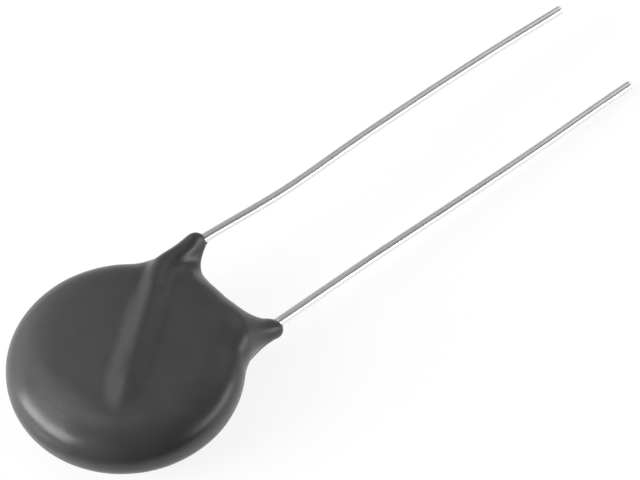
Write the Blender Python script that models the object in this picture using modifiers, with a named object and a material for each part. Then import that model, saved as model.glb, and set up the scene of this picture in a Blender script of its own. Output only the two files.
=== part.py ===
"""Metal oxide varistor of the radial-leaded disc type, lying flat on its back face.

A pressed zinc oxide disc carries a silver electrode on each face. A tinned wire is soldered
across each electrode, bends at the disc's edge and leaves as a lead. The whole disc is dipped
in epoxy, which swells over the wires and runs out along each lead in a tapered nub.

Lengths are in metres. Points are written in the disc's own frame: origin at the centre of the
ceramic disc, +X towards the lead tips, +Z through the front face. The empty disc_frame then
sets that frame over the origin, which is the middle of the part's footprint.
"""

import math

import bmesh
import bpy
import numpy as np
from mathutils import Matrix, Vector

# Ceramic disc and electrodes
CERAMIC_DIAMETER = 0.0140
CERAMIC_THICKNESS = 0.0027
CERAMIC_CHAMFER = 0.00018
ELECTRODE_DIAMETER = 0.0126
ELECTRODE_THICKNESS = 0.00006

# Clearance kept between solids that touch on the real part
SEAT_GAP = 0.00002

# Lead wire, soldered on the electrode from its inner end to near the disc's edge
WIRE_DIAMETER = 0.00068
WIRE_END_X = -0.0014
WIRE_END_Y = -0.0020
CORNER_PAST_CERAMIC = -0.0005
CORNER_OUTSIDE_EXIT = 0.00002
CORNER_EASE = 0.0006
STRAIGHT_IN_NUB = 0.0009
CHANNEL_PAST_EXIT = 0.0015

# Leads outside the coat
LEAD_PITCH = 0.0075
LEAD_LENGTH = 0.03335
FRONT_LEAD_EXTRA = 0.0002
EXIT_SHIFT_Y = 0.00008
FRONT_EXIT_HEIGHT = 0.00145
BACK_EXIT_HEIGHT = -0.0007
TIP_SHIFT_Y = -0.0003
FRONT_TIP_HEIGHT = -0.0005
# Sideways sway of each lead, as (share of its length, offset towards +Y)
FRONT_SWAY = ((0.20, -0.00028), (0.42, -0.00001), (0.62, 0.00012), (0.82, 0.00012))
BACK_SWAY = ((0.25, 0.00003), (0.50, -0.00007), (0.70, -0.0001), (0.90, -0.00001))

# Solder mounds
SOLDER_LENGTH = 0.0068
SOLDER_WIDTH = 0.0017
SOLDER_PAST_WIRE_END = 0.0003
SOLDER_UNDER_WIRE = 0.00006
SOLDER_OVER_WIRE = 0.00008

# Epoxy coat
COAT_OVER_FACE = 0.00075
COAT_ROUND_EDGE = 0.00099
COAT_OVER_SOLDER = 0.00030
COAT_OVER_CORNER = 0.00022
COAT_LIP = 0.00003
RIM_REACH = 0.0020
RIDGE_BLEND = 0.0006
RIDGE_FADE = 0.0026
MOUND_UNDER_CREST = 0.00012
NUB_BLEND = 0.0018

# Web of epoxy that fills the disc's edge between the nubs
WEB_REACH = 0.00036
WEB_RADIUS = 0.0017
WEB_LENGTH = 0.0022
WEB_BLEND = 0.0009

# Tapered nubs where the coat runs out along the leads
NUB_REACH = 0.00232
NUB_ROOT_INSET = 0.0011
NUB_ROOT_INSIDE = 0.0005
NUB_ROOT_SHIFT_Y = 0.0002
NUB_ROOT_HEIGHT = 0.00022
NUB_ROOT_RADIUS = 0.0013
FRONT_NUB_TIP_RADIUS = 0.00077
FRONT_NUB_TIP_INSET = 0.0009
FRONT_NUB_TIP_LIFT = 0.00008
BACK_NUB_TIP_RADIUS = 0.00066
BACK_NUB_TIP_INSET = 0.00062
BACK_NUB_TIP_OUTSIDE = 0.00015
BACK_NUB_TIP_DROP = 0.0002

# Mesh density
DISC_SEGMENTS = 64
BALL_SEGMENTS = 24
RIM_POINTS = 17
COAT_CELL = 0.00045
COAT_PASSES = 14
NUB_PASSES = 3
WIRE_RING = 4
BEND_STEP = 0.00045
LEAD_STEP = 0.0013
MERGE_DISTANCE = 0.000001
SHARP_EDGE = math.radians(40)

# Heights above the disc's middle, stacked from the ceramic outwards
CERAMIC_TOP = CERAMIC_THICKNESS / 2
ELECTRODE_BASE = CERAMIC_TOP + SEAT_GAP
ELECTRODE_TOP = ELECTRODE_BASE + ELECTRODE_THICKNESS
SOLDER_BASE = ELECTRODE_TOP + SEAT_GAP
WIRE_RADIUS = WIRE_DIAMETER / 2
CHANNEL_RADIUS = WIRE_RADIUS + SEAT_GAP
WIRE_HEIGHT = SOLDER_BASE + SOLDER_UNDER_WIRE + CHANNEL_RADIUS
SOLDER_TOP = WIRE_HEIGHT + CHANNEL_RADIUS + SOLDER_OVER_WIRE
RIDGE_TOP = SOLDER_TOP + SEAT_GAP + COAT_OVER_SOLDER
COAT_TOP = ELECTRODE_TOP + SEAT_GAP + COAT_OVER_FACE

# Where the blend between ridge and flat face lifts the ridge, its own radius is that much less
RIDGE_RISE = max(0.0, RIDGE_TOP - COAT_TOP)
RIDGE_LIFT = (math.sqrt(RIDGE_BLEND) - math.sqrt(min(RIDGE_BLEND, RIDGE_RISE))) ** 2

# The lying part stands on its back ridge and the tip of its back lead
BACK_TIP_HEIGHT = WIRE_RADIUS - RIDGE_TOP

# Radii and places in plan
CERAMIC_RADIUS = CERAMIC_DIAMETER / 2
COAT_RADIUS = CERAMIC_RADIUS + SEAT_GAP + COAT_ROUND_EDGE
EXIT_X = COAT_RADIUS + NUB_REACH
BACK_TIP_X = EXIT_X + LEAD_LENGTH
TIP_X = BACK_TIP_X + FRONT_LEAD_EXTRA
SLEEVE_RADIUS = RIDGE_TOP - RIDGE_LIFT - WIRE_HEIGHT
CORNER_SLEEVE_RADIUS = CHANNEL_RADIUS + COAT_OVER_CORNER
LIP_RADIUS = CHANNEL_RADIUS + COAT_LIP
FRONT, BACK = 1, -1


def clear_scene():
    for obj in list(bpy.data.objects):
        bpy.data.objects.remove(obj)


def new_collection(name):
    collection = bpy.data.collections.new(name)
    bpy.context.scene.collection.children.link(collection)
    return collection


def new_material(name, color, roughness, metallic):
    material = bpy.data.materials.new(name)
    material.use_nodes = True
    shader = material.node_tree.nodes["Principled BSDF"]
    shader.inputs["Base Color"].default_value = (*color, 1)
    shader.inputs["Roughness"].default_value = roughness
    shader.inputs["Metallic"].default_value = metallic
    return material


def finish_part(obj, material, parent):
    """Gives a sub-part its material and hangs it on the disc's frame."""
    obj.data.materials.clear()
    obj.data.materials.append(material)
    obj.parent = parent


def make_cutter(obj, parent):
    obj.hide_render = True
    obj.display_type = "WIRE"
    obj.parent = parent


def turned_solid(name, profile, collection):
    """A solid of revolution about Z, from (radius, height) points that run down its outer side."""
    mesh = bpy.data.meshes.new(name)
    edges = [(i, i + 1) for i in range(len(profile) - 1)]
    mesh.from_pydata([(radius, 0, height) for radius, height in profile], edges, [])
    obj = bpy.data.objects.new(name, mesh)
    collection.objects.link(obj)
    screw = obj.modifiers.new("turn", "SCREW")
    screw.steps = screw.render_steps = DISC_SEGMENTS
    screw.use_merge_vertices = True
    screw.merge_threshold = MERGE_DISTANCE
    return obj


def tube(name, points, radius, collection, radii=None):
    """A round tube along points. radii, where given, are its radius at each point."""
    curve = bpy.data.curves.new(name, "CURVE")
    curve.dimensions = "3D"
    curve.twist_mode = "Z_UP"
    curve.bevel_depth = radius
    curve.bevel_resolution = WIRE_RING
    curve.use_fill_caps = True
    spline = curve.splines.new("POLY")
    spline.points.add(len(points) - 1)
    for index, point in enumerate(points):
        spline.points[index].co = (*point, 1)
        spline.points[index].radius = 1 if radii is None else radii[index] / radius
    obj = bpy.data.objects.new(name, curve)
    collection.objects.link(obj)
    return obj


def ball(name, centre, radius, collection):
    work = bmesh.new()
    rings = BALL_SEGMENTS // 2
    bmesh.ops.create_uvsphere(work, u_segments=BALL_SEGMENTS, v_segments=rings, radius=radius)
    work.transform(Matrix.Translation(centre))
    mesh = bpy.data.meshes.new(name)
    work.to_mesh(mesh)
    work.free()
    obj = bpy.data.objects.new(name, mesh)
    collection.objects.link(obj)
    return obj


def as_mesh(obj, collection):
    """Replaces an object by one with the mesh that its curve or modifiers make."""
    bpy.context.view_layer.update()
    graph = bpy.context.evaluated_depsgraph_get()
    mesh = bpy.data.meshes.new_from_object(obj.evaluated_get(graph))
    work = bmesh.new()
    work.from_mesh(mesh)
    bmesh.ops.remove_doubles(work, verts=work.verts, dist=MERGE_DISTANCE)
    bmesh.ops.recalc_face_normals(work, faces=work.faces)
    work.to_mesh(mesh)
    work.free()
    name = obj.name
    place = obj.matrix_world.copy()
    bpy.data.objects.remove(obj)
    solid = bpy.data.objects.new(name, mesh)
    solid.matrix_world = place
    collection.objects.link(solid)
    return solid


def cut(obj, cutters):
    for cutter in cutters:
        boolean = obj.modifiers.new(cutter.name, "BOOLEAN")
        boolean.operation = "DIFFERENCE"
        boolean.solver = "EXACT"
        boolean.object = cutter


def smooth_route(keys, steps):
    """Points along a Catmull-Rom curve through keys, the spans cut to about the given steps."""
    padded = [2 * keys[0] - keys[1], *keys, 2 * keys[-1] - keys[-2]]
    route = [keys[0]]
    for span, step in enumerate(steps):
        before, start, end, after = padded[span : span + 4]
        knots = [0.0]
        for near, far in ((before, start), (start, end), (end, after)):
            knots.append(knots[-1] + math.sqrt((far - near).length))
        count = max(1, round((end - start).length / step))
        for index in range(1, count + 1):
            t = knots[1] + (knots[2] - knots[1]) * index / count
            route.append(catmull_rom(before, start, end, after, knots, t))
    return route


def catmull_rom(before, start, end, after, knots, t):
    """The centripetal Catmull-Rom point at t, between the second and third knots."""
    k0, k1, k2, k3 = knots
    a1 = before.lerp(start, (t - k0) / (k1 - k0))
    a2 = start.lerp(end, (t - k1) / (k2 - k1))
    a3 = end.lerp(after, (t - k2) / (k3 - k2))
    b1 = a1.lerp(a2, (t - k0) / (k2 - k0))
    b2 = a2.lerp(a3, (t - k1) / (k3 - k1))
    return b1.lerp(b2, (t - k1) / (k2 - k1))


def wire_end(side):
    return Vector((WIRE_END_X, side * WIRE_END_Y, side * WIRE_HEIGHT))


def wire_corner(side):
    """Where the wire turns at the disc's edge, from its run over the electrode to the lead."""
    x = CERAMIC_RADIUS + CORNER_PAST_CERAMIC
    y = side * (LEAD_PITCH / 2 + CORNER_OUTSIDE_EXIT) + EXIT_SHIFT_Y
    return Vector((x, y, side * WIRE_HEIGHT))


def wire_exit(side):
    height = FRONT_EXIT_HEIGHT if side == FRONT else BACK_EXIT_HEIGHT
    return Vector((EXIT_X, side * LEAD_PITCH / 2 + EXIT_SHIFT_Y, height))


def lead_tip(side):
    x, height = (TIP_X, FRONT_TIP_HEIGHT) if side == FRONT else (BACK_TIP_X, BACK_TIP_HEIGHT)
    return Vector((x, side * LEAD_PITCH / 2 + TIP_SHIFT_Y, height))


def lead_heading(side):
    """The way the lead points where it leaves the coat, from its first bend outside."""
    share, offset = (FRONT_SWAY if side == FRONT else BACK_SWAY)[0]
    start = wire_exit(side)
    return (start.lerp(lead_tip(side), share) + Vector((0, offset, 0)) - start).normalized()


def inner_keys(side):
    """The wire's end, its eased corner, its straight way out and a point just past the coat."""
    end, corner, way_out = wire_end(side), wire_corner(side), wire_exit(side)
    straight = way_out - STRAIGHT_IN_NUB * lead_heading(side)
    inward = (end - corner).normalized()
    outward = (straight - corner).normalized()
    return [
        end,
        end.lerp(corner, 0.5),
        corner + CORNER_EASE * inward,
        corner + 0.25 * CORNER_EASE * (inward + outward),
        corner + CORNER_EASE * outward,
        straight,
        way_out,
        way_out + CHANNEL_PAST_EXIT * lead_heading(side),
    ]


def inner_route(side):
    keys = inner_keys(side)
    return smooth_route(keys, [LEAD_STEP] * 2 + [BEND_STEP] * (len(keys) - 3))


def wire_route(side):
    """The whole wire: its inner run, then the swaying lead to the cut tip."""
    inner = inner_keys(side)
    start, tip = wire_exit(side), lead_tip(side)
    sway = FRONT_SWAY if side == FRONT else BACK_SWAY
    outer = [start.lerp(tip, share) + Vector((0, offset, 0)) for share, offset in sway]
    steps = [LEAD_STEP] * 2 + [BEND_STEP] * (len(inner) - 3) + [LEAD_STEP] * (len(outer) + 1)
    return smooth_route([*inner, *outer, tip], steps)


def coated_route(side):
    """The stretch of wire that the coat swells over, with the swelling's radius at each point."""
    route = [point for point in inner_route(side) if point.x < nub_tip(side).x]
    end, corner = wire_end(side), wire_corner(side)
    run = (corner - end).length
    stations = (0, RIDGE_FADE, run - RIM_REACH, run, run + (route[-1] - corner).length)
    radii = (CHANNEL_RADIUS, SLEEVE_RADIUS, SLEEVE_RADIUS, CORNER_SLEEVE_RADIUS, LIP_RADIUS)
    before = [(point - end).length for point in route]
    past = [run + (point - corner).length for point in route]
    places = [a if a < run else b for a, b in zip(before, past)]
    return route, [np.interp(place, stations, radii) for place in places]


def web_axis():
    x = COAT_RADIUS + WEB_REACH - WEB_RADIUS
    return Vector((x, -WEB_LENGTH / 2, 0)), Vector((x, WEB_LENGTH / 2, 0))


def nub_tip(side):
    """Centre of the nub's round end. The back one sags outside and below its lead."""
    if side == FRONT:
        return wire_exit(side) + Vector((-FRONT_NUB_TIP_INSET, 0, FRONT_NUB_TIP_LIFT))
    return wire_exit(side) - Vector((BACK_NUB_TIP_INSET, BACK_NUB_TIP_OUTSIDE, BACK_NUB_TIP_DROP))


def nub_axis(side):
    """Root and tip centres of the nub around a lead."""
    root = Vector((
        COAT_RADIUS - NUB_ROOT_INSET,
        side * (LEAD_PITCH / 2 - NUB_ROOT_INSIDE) + NUB_ROOT_SHIFT_Y,
        NUB_ROOT_HEIGHT,
    ))
    return root, nub_tip(side)


def nub_radii(side):
    return NUB_ROOT_RADIUS, FRONT_NUB_TIP_RADIUS if side == FRONT else BACK_NUB_TIP_RADIUS


def blend_min(a, b, width):
    """The smaller of two distances, with the corner between them rounded over width."""
    overlap = np.maximum(width - np.abs(a - b), 0) / width
    return np.minimum(a, b) - overlap**2 * width / 4


def distance_to_route(points, route, radii):
    """Distance from each point to the hull of balls whose radius varies along a route."""
    nearest = np.full(len(points), np.inf)
    for start, end, first, last in zip(route[:-1], route[1:], radii[:-1], radii[1:]):
        length = (end - start).length
        taper = (first - last) / length
        offset = points - np.array(start)
        ahead = offset @ np.array((end - start) / length)
        aside = np.sqrt(np.maximum((offset**2).sum(axis=1) - ahead**2, 0))
        reach = np.clip(ahead - aside * taper / math.sqrt(1 - taper**2), 0, length)
        nearest = np.minimum(nearest, np.hypot(aside, ahead - reach) - (first - taper * reach))
    return nearest


def distance_to_disc(points):
    """Distance to the coated disc: flat faces joined by an elliptical rim."""
    reach = np.hypot(points[:, 0], points[:, 1]) - (COAT_RADIUS - RIM_REACH)
    across = np.maximum(reach, 0) / RIM_REACH
    up = points[:, 2] / COAT_TOP
    return (np.hypot(across, up) - 1) * COAT_TOP


def solder_axes(side):
    """Middle, length direction and width direction of a solder mound on its electrode."""
    end, corner = wire_end(side), wire_corner(side)
    along = (corner - end).normalized()
    middle = end + along * (SOLDER_LENGTH / 2 - SOLDER_PAST_WIRE_END)
    middle.z = side * SOLDER_BASE
    width = Vector((-along.y, along.x, 0)) * side
    return middle, along, width


def distance_to_mound(points, side):
    """Distance to the coat's swelling over a solder mound."""
    middle, along, width = solder_axes(side)
    half_width = SOLDER_WIDTH / 2 + COAT_OVER_SOLDER
    half_height = RIDGE_TOP - RIDGE_LIFT - MOUND_UNDER_CREST - SOLDER_BASE
    offset = points - np.array(middle)
    straight = (SOLDER_LENGTH - SOLDER_WIDTH) / 2
    past = np.maximum(np.abs(offset @ np.array(along)) - straight, 0) / RIDGE_FADE
    across = offset @ np.array(width) / half_width
    up = offset[:, 2] / half_height
    return (np.sqrt(past**2 + across**2 + up**2) - 1) * half_height


def coat_distance(points):
    """Signed distance to the coat's outer surface, near enough for placing points on it."""
    web = distance_to_route(points, web_axis(), (WEB_RADIUS, WEB_RADIUS))
    field = blend_min(distance_to_disc(points), web, WEB_BLEND)
    for side in (FRONT, BACK):
        nub = distance_to_route(points, nub_axis(side), nub_radii(side))
        field = blend_min(field, nub, NUB_BLEND)
    for side in (FRONT, BACK):
        sleeve = distance_to_route(points, *coated_route(side))
        ridge = blend_min(sleeve, distance_to_mound(points, side), MOUND_UNDER_CREST)
        field = blend_min(field, ridge, RIDGE_BLEND)
    return field


def coat_slope(points):
    """Gradient of the coat's distance, by central differences."""
    step = COAT_CELL / 50
    slope = np.empty_like(points)
    for axis in range(3):
        shift = np.zeros(3)
        shift[axis] = step
        slope[:, axis] = coat_distance(points + shift) - coat_distance(points - shift)
    return slope / (2 * step)


def move_onto_coat(points):
    """One Newton step towards the coat's surface, no longer than a cell."""
    slope = coat_slope(points)
    steep = np.maximum((slope**2).sum(axis=1), 0.1)
    move = np.clip(coat_distance(points) / steep, -COAT_CELL, COAT_CELL)
    return points - slope * move[:, None]


def refine_nubs(mesh):
    """Halves the cells past the disc's edge, where the nubs turn in a smaller radius."""
    work = bmesh.new()
    work.from_mesh(mesh)
    start = COAT_RADIUS + 2 * COAT_CELL
    edges = [edge for edge in work.edges if min(vert.co.x for vert in edge.verts) > start]
    bmesh.ops.subdivide_edges(work, edges=edges, cuts=1, use_grid_fill=True)
    bmesh.ops.triangulate(work, faces=work.faces)
    work.to_mesh(mesh)
    work.free()


def relax_onto_coat(mesh, passes):
    """Evens out the mesh and draws it onto the coat's surface."""
    points = np.empty(len(mesh.vertices) * 3)
    mesh.vertices.foreach_get("co", points)
    points = points.reshape(-1, 3)
    edges = np.empty(len(mesh.edges) * 2, np.int32)
    mesh.edges.foreach_get("vertices", edges)
    edges = edges.reshape(-1, 2)
    valence = np.bincount(edges.ravel(), minlength=len(points))[:, None]
    for _ in range(passes):
        total = np.zeros_like(points)
        np.add.at(total, edges[:, 0], points[edges[:, 1]])
        np.add.at(total, edges[:, 1], points[edges[:, 0]])
        points = move_onto_coat(0.5 * points + 0.5 * total / valence)
    for _ in range(3):
        points = move_onto_coat(points)
    mesh.vertices.foreach_set("co", points.ravel())
    mesh.update()


def rim_profile():
    """Half section of the coated disc, from the middle of its front face to that of its back."""
    angles = np.linspace(math.pi / 2, -math.pi / 2, RIM_POINTS)
    core = COAT_RADIUS - RIM_REACH
    rim = [(core + RIM_REACH * math.cos(a), COAT_TOP * math.sin(a)) for a in angles]
    return [(0, COAT_TOP), *rim, (0, -COAT_TOP)]


def rough_coat(collection):
    """Disc, nubs and ridges joined to one voxel mesh, which is then drawn onto the coat."""
    pieces = [turned_solid("coating", rim_profile(), collection)]
    pieces.append(tube("web", web_axis(), WEB_RADIUS, collection))
    for side in (FRONT, BACK):
        route, radii = coated_route(side)
        pieces.append(tube("nub", nub_axis(side), NUB_ROOT_RADIUS, collection, nub_radii(side)))
        pieces.append(ball("nub_tip", nub_tip(side), nub_radii(side)[1], collection))
        pieces.append(tube("ridge", route, SLEEVE_RADIUS, collection, radii))
    pieces = [as_mesh(piece, collection) for piece in pieces]
    body = pieces[0]
    work = bmesh.new()
    for piece in pieces:
        work.from_mesh(piece.data)
    work.to_mesh(body.data)
    work.free()
    for piece in pieces[1:]:
        bpy.data.objects.remove(piece)
    remesh = body.modifiers.new("skin", "REMESH")
    remesh.mode = "VOXEL"
    remesh.voxel_size = COAT_CELL
    return as_mesh(body, collection)


def make_coating(collection, material, parent):
    body = rough_coat(collection)
    relax_onto_coat(body.data, COAT_PASSES)
    refine_nubs(body.data)
    relax_onto_coat(body.data, NUB_PASSES)
    body.name = "coating"
    finish_part(body, material, parent)
    return body


def make_ceramic(collection, material, parent):
    radius, top, chamfer = CERAMIC_RADIUS, CERAMIC_TOP, CERAMIC_CHAMFER
    profile = [
        (0, top),
        (radius - chamfer, top),
        (radius, top - chamfer),
        (radius, chamfer - top),
        (radius - chamfer, -top),
        (0, -top),
    ]
    disc = turned_solid("ceramic_disc", profile, collection)
    finish_part(disc, material, parent)


def make_electrode(side, name, collection, material, parent):
    radius = ELECTRODE_DIAMETER / 2
    low, high = sorted((side * ELECTRODE_BASE, side * ELECTRODE_TOP))
    profile = [(0, high), (radius, high), (radius, low), (0, low)]
    finish_part(turned_solid(name, profile, collection), material, parent)


def mound(name, side, grow, collection):
    """A solder mound, flat on the electrode. grow widens it all round, for its pocket."""
    middle, along, width = solder_axes(side)
    up = Vector((0, 0, side))
    half_width = SOLDER_WIDTH / 2 + grow
    height = SOLDER_TOP - SOLDER_BASE + grow
    straight = (SOLDER_LENGTH - SOLDER_WIDTH) / 2
    work = bmesh.new()
    rings = BALL_SEGMENTS // 2
    bmesh.ops.create_uvsphere(work, u_segments=BALL_SEGMENTS, v_segments=rings, radius=1)
    for vert in work.verts:
        shift = math.copysign(straight, vert.co.x) if abs(vert.co.x) > 0.001 else 0
        vert.co = Vector((vert.co.x * half_width + shift, vert.co.y * half_width, vert.co.z * height))
    foot = bmesh.ops.bisect_plane(
        work,
        geom=[*work.verts, *work.edges, *work.faces],
        plane_co=(0, 0, -grow),
        plane_no=(0, 0, -1),
        clear_outer=True,
    )
    rim = [item for item in foot["geom_cut"] if isinstance(item, bmesh.types.BMEdge)]
    bmesh.ops.edgeloop_fill(work, edges=rim)
    axes = Matrix((along, width, up)).transposed().to_4x4()
    work.transform(Matrix.Translation(middle) @ axes)
    bmesh.ops.recalc_face_normals(work, faces=work.faces)
    mesh = bpy.data.meshes.new(name)
    work.to_mesh(mesh)
    work.free()
    obj = bpy.data.objects.new(name, mesh)
    collection.objects.link(obj)
    return obj


def disc_pocket(cutters):
    """The room inside the coat for the ceramic disc and its electrodes."""
    inner = ELECTRODE_DIAMETER / 2 + SEAT_GAP
    outer = CERAMIC_RADIUS + SEAT_GAP
    high, low = ELECTRODE_TOP + SEAT_GAP, CERAMIC_TOP + SEAT_GAP
    profile = [(0, high), (inner, high), (inner, low), (outer, low)]
    profile += [(radius, -height) for radius, height in reversed(profile)]
    return turned_solid("disc_pocket", profile, cutters)


def wire_channel(name, side, cutters):
    """The room for the wire, from its end in the solder to past the nub's tip."""
    route = inner_route(side)
    backwards = (route[0] - route[1]).normalized()
    points = [route[0] + SEAT_GAP * backwards, *route[1:]]
    return as_mesh(tube(name, points, CHANNEL_RADIUS, cutters), cutters)


def shade_parts(collection):
    """Round stretches smooth, edges over the sharp angle left as edges."""
    for obj in collection.objects:
        if obj.type == "MESH":
            obj.data.shade_smooth()
            obj.data.set_sharp_from_angle(angle=SHARP_EDGE)


def main():
    clear_scene()
    parts = new_collection("varistor")
    cutters = new_collection("cutters")
    epoxy = new_material("dark_epoxy", (0.052, 0.052, 0.055), 0.38, 0.0)
    zinc_oxide = new_material("zinc_oxide_ceramic", (0.09, 0.10, 0.09), 0.7, 0.0)
    silver = new_material("fired_silver", (0.78, 0.77, 0.74), 0.45, 1.0)
    solder = new_material("solder", (0.60, 0.60, 0.62), 0.35, 1.0)
    tinned = new_material("tinned_wire", (0.76, 0.76, 0.77), 0.25, 1.0)

    disc_frame = bpy.data.objects.new("disc_frame", None)
    parts.objects.link(disc_frame)
    coating = make_coating(parts, epoxy, disc_frame)
    lowest = min(vert.co.z for vert in coating.data.vertices)
    disc_frame.location = (-(TIP_X - COAT_RADIUS) / 2, 0, -lowest)
    make_ceramic(parts, zinc_oxide, disc_frame)
    hollows = [disc_pocket(cutters)]
    for side, word in ((FRONT, "front"), (BACK, "back")):
        make_electrode(side, word + "_electrode", parts, silver, disc_frame)
        channel = wire_channel(word + "_channel", side, cutters)
        joint = mound(word + "_solder", side, 0, parts)
        cut(joint, [channel])
        finish_part(joint, solder, disc_frame)
        lead = tube(word + "_lead", wire_route(side), WIRE_RADIUS, parts)
        finish_part(lead, tinned, disc_frame)
        hollows += [mound(word + "_pocket", side, SEAT_GAP, cutters), channel]
    for hollow in hollows:
        make_cutter(hollow, disc_frame)
    cut(coating, hollows)
    shade_parts(parts)


main()
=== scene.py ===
"""Looks of the metal oxide varistor: its dipped epoxy coat, tinned leads, light and camera.

Lengths are in metres. The coat and the wires are worked out in the disc's own frame, whose
origin is the centre of the ceramic disc, and then moved to where the frame has that disc.
"""

import math

import bmesh
import bpy
import numpy as np
from mathutils import Matrix, Vector


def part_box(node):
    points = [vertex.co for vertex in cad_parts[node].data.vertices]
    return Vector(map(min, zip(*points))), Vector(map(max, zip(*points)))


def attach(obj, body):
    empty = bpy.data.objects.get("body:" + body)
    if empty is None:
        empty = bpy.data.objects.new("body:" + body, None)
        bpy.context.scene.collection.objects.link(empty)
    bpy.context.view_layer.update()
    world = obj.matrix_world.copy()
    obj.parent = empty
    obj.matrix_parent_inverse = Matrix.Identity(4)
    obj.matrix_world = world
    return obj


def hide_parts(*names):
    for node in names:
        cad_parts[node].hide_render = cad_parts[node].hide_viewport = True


# Sizes of the solids that the coat and the wires follow
SEAT_GAP = 0.00002
WIRE_RADIUS = 0.00034
WIRE_END_X = -0.0014
WIRE_END_Y = -0.0020
CORNER_PAST_CERAMIC = -0.0005
CORNER_OUTSIDE_EXIT = 0.00002
CORNER_EASE = 0.0006
CORNER_CUT = 0.25
STRAIGHT_IN_NUB = 0.0009
CHANNEL_PAST_EXIT = 0.0015
LEAD_PITCH = 0.0075
LEAD_LENGTH = 0.03335
FRONT_LEAD_EXTRA = 0.0002
EXIT_SHIFT_Y = 0.00008
FRONT_EXIT_HEIGHT = 0.00145
BACK_EXIT_HEIGHT = -0.0007
TIP_SHIFT_Y = -0.0003
FRONT_TIP_HEIGHT = -0.0005
FRONT_SWAY = ((0.20, -0.00028), (0.42, -0.00001), (0.62, 0.00012), (0.82, 0.00012))
BACK_SWAY = ((0.25, 0.00003), (0.50, -0.00007), (0.70, -0.0001), (0.90, -0.00001))
SOLDER_LENGTH = 0.0068
SOLDER_WIDTH = 0.0017
SOLDER_PAST_WIRE_END = 0.0003
SOLDER_UNDER_WIRE = 0.00006
SOLDER_OVER_WIRE = 0.00008

# Sizes of the coat
COAT_OVER_FACE = 0.00075
COAT_ROUND_EDGE = 0.00099
COAT_OVER_SOLDER = 0.00030
COAT_OVER_CORNER = 0.00022
COAT_LIP = 0.00003
RIM_REACH = 0.0032
RIM_POWER = 2.6
EDGE_POWER = 2.4
CORNER_FADE = 0.0020
RIDGE_BLEND = 0.0006
RIDGE_FADE = 0.0026
RIDGE_SLOPE = 0.00008
MOUND_UNDER_CREST = 0.00012
NUB_BLEND = 0.0018
WEB_REACH = 0.00036
WEB_RADIUS = 0.0017
WEB_LENGTH = 0.0022
WEB_BLEND = 0.0009
NUB_REACH = 0.00232
NUB_ROOT_INSET = 0.0011
NUB_ROOT_INSIDE = 0.0005
NUB_ROOT_SHIFT_Y = 0.0002
NUB_ROOT_HEIGHT = 0.00022
NUB_ROOT_RADIUS = 0.0013
FRONT_NUB_TIP_RADIUS = 0.00077
FRONT_NUB_TIP_INSET = 0.0009
FRONT_NUB_TIP_LIFT = 0.00008
BACK_NUB_TIP_RADIUS = 0.00066
BACK_NUB_TIP_INSET = 0.00062
BACK_NUB_TIP_OUTSIDE = 0.00015
BACK_NUB_TIP_DROP = 0.0002

# The front nub's steep flat flank, on its inner side: how deep it cuts, and its turn upwards
FLANK_DEPTH = 0.00034
FLANK_TURN = 33
FLANK_BLEND = 0.00036

# Where the front face's coat drained thinner: its heading, how far out it starts and ends, its
# half width along the rim, how much thinner it gets, and the height over which it fades
THIN_HEADING = 186
THIN_START = 0.0042
THIN_END = 0.0068
THIN_WIDTH = 0.0034
THIN_DEPTH = 0.00016
THIN_FADE = 0.0009

# A small flake of coat on each wire where the nub ends: its reach along the wire, its place
# beside the wire's axis in wire radii, and its radii
SPUR_REACH = 0.00022
SPUR_PLACE = (0, -0.75, -0.66)
SPUR_RADII = (0.00013, 0.00006)

# Fine meshes of the coat and the wires
COAT_CELL = 0.00014
RELAXING_PASSES = 8
LAST_PASSES = 2
SLOPE_STEP = COAT_CELL / 20
LEAST_STEEPNESS = 0.1
WIRE_SIDES = 32
WIRE_STEP = 0.00022
CUTTER_GAP = 0.000004
SLIVER = 0.0000005
SHARP_ANGLE = 50

# Coarser meshes, which the coat is drawn from or cut with
ROUGH_SIDES = 24
ROUGH_TURNS = 128
ROUGH_RIM_POINTS = 33
BALL_RINGS = 16
ROOM_TURNS = 96
MOUND_RINGS = 12
MOUND_SEAM = 0.001
SAME_POINT = 0.000001

# The coat's slight unevenness: depth, what keeps its highest waves inside the solids' box, and
# the lengths of the waves that make it
WAVE_DEPTH = 0.000006
WAVE_MARGIN = 0.000003
WAVE_LENGTHS = (0.0051, 0.0034, 0.0023)

# Cut tips: the wire's edge is rounded over this reach and drawn in by this much
TIP_ROUND = 0.00006
TIP_DRAW = 0.00005
TIP_RINGS = (0.5, 0.85, 1.0)

# A nick that a forming tool left in the front lead: how far from the coat, its size and depth
NICK_FROM_EXIT = 0.0148
NICK_REACH = 0.00028
NICK_DEPTH = 0.000035
NICK_ANGLE = 2.2
NICK_SPREAD = 0.7

# Epoxy: its tone, with painted light that leaves it palest on the far left, its clouds and its
# gloss. Each noise is a scale and a detail, and each depth is in metres.
PAINTED_SHADE_WAY = Vector((0.7466, -0.6651, 0))
PAINTED_SHADE_RADII = 1.15
EPOXY_DARK = (0.0435, 0.0435, 0.0435)
# The pale tone is that of the clouds and of the painted light on the far left
EPOXY_CLOUD_AND_PAINTED_LIGHT = (0.075, 0.075, 0.075)
EPOXY_IOR = 1.5
CLOUD_NOISE = (420, 4)
CLOUD_SHARE = 0.3
GLOSS_NOISE = (900, 5)
GLOSS_ROUGHNESS = (0.29, 0.35)
SKIN_NOISE = (700, 2)
SKIN_DEPTH = 0.000018
GRAIN_NOISE = (9000, 3)
GRAIN_DEPTH = 0.0000025

# The dull pitted patch beside the thin place, with pale specks that are painted glints
DULL_PLACE = (-0.0062, -0.0002, 0.0020)
DULL_REACH = (0.0021, 0.0030, 0.0020)
# The pale colour of the specks that paint glints in the patch
PAINTED_GLINT_COLOR = (0.12, 0.12, 0.12)
DULL_ROUGHNESS = 0.22
SPECK_NOISE = (6500, 4)
SPECK_SPAN = (0.4, 0.62)
SPECK_SHARE = (0.45, 0.9)
PIT_NOISE = (4200, 4)
PIT_DEPTH = 0.000018

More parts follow.
